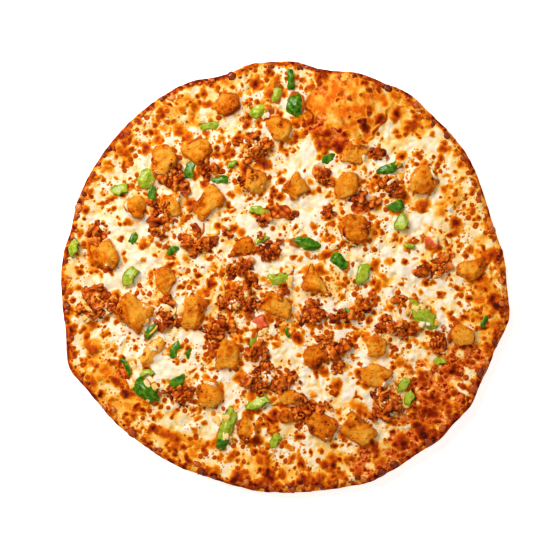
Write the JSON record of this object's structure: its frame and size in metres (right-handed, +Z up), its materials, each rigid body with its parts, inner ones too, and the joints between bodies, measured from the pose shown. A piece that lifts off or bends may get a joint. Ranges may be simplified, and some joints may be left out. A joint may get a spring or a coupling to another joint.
{
  "type": "pan pizza",
  "caption": "Whole round pizza with browned cheese to its edge, topped with diced chicken, crumbled sausage, green and yellow pepper and tomato.",
  "frame": {"origin": "centre of the bounding box, on the flat underside the pizza rests on", "axes": "+Z up out of the topped side, +X to the right and +Y away from the viewer in the reference view from above"},
  "size_m": [0.363, 0.3496, 0.0267],
  "materials": {
    "dough": "baked dough, golden brown, dry",
    "cheese": "melted cheese, cream with amber and brown toasted spots",
    "chicken": "seasoned roast chicken, orange brown, slightly oily",
    "sausage": "crumbled cooked sausage, red brown, rough",
    "pepper": "cooked green pepper, waxy skin",
    "yellow_pepper": "cooked yellow pepper, waxy skin",
    "tomato": "cooked tomato, wet"
  },
  "bodies": {
    "root": {"crust": "dough", "cheese": "cheese", "chicken_01": "chicken", "chicken_02": "chicken", "chicken_03": "chicken", "chicken_04": "chicken", "chicken_05": "chicken", "chicken_06": "chicken", "chicken_07": "chicken", "chicken_08": "chicken", "chicken_09": "chicken", "chicken_10": "chicken", "chicken_11": "chicken", "chicken_12": "chicken", "chicken_13": "chicken", "chicken_14": "chicken", "chicken_15": "chicken", "chicken_16": "chicken", "chicken_17": "chicken", "chicken_18": "chicken", "chicken_19": "chicken", "chicken_20": "chicken", "chicken_21": "chicken", "chicken_22": "chicken", "chicken_23": "chicken", "chicken_24": "chicken", "chicken_25": "chicken", "chicken_26": "chicken", "chicken_27": "chicken", "chicken_28": "chicken", "chicken_29": "chicken", "chicken_30": "chicken", "chicken_31": "chicken", "chicken_32": "chicken", "tomato_01": "tomato", "tomato_02": "tomato", "pepper_01": "pepper", "pepper_02": "pepper", "pepper_03": "pepper", "pepper_04": "pepper", "pepper_05": "pepper", "pepper_06": "pepper", "pepper_07": "pepper", "pepper_08": "pepper", "pepper_09": "pepper", "pepper_10": "pepper", "pepper_11": "pepper", "pepper_12": "pepper", "pepper_13": "pepper", "yellow_pepper": "yellow_pepper", "sausage_01": "sausage", "sausage_02": "sausage", "sausage_03": "sausage", "sausage_04": "sausage", "sausage_05": "sausage", "sausage_06": "sausage", "sausage_07": "sausage", "sausage_08": "sausage", "sausage_09": "sausage", "sausage_10": "sausage"}
  },
  "joints": []
}
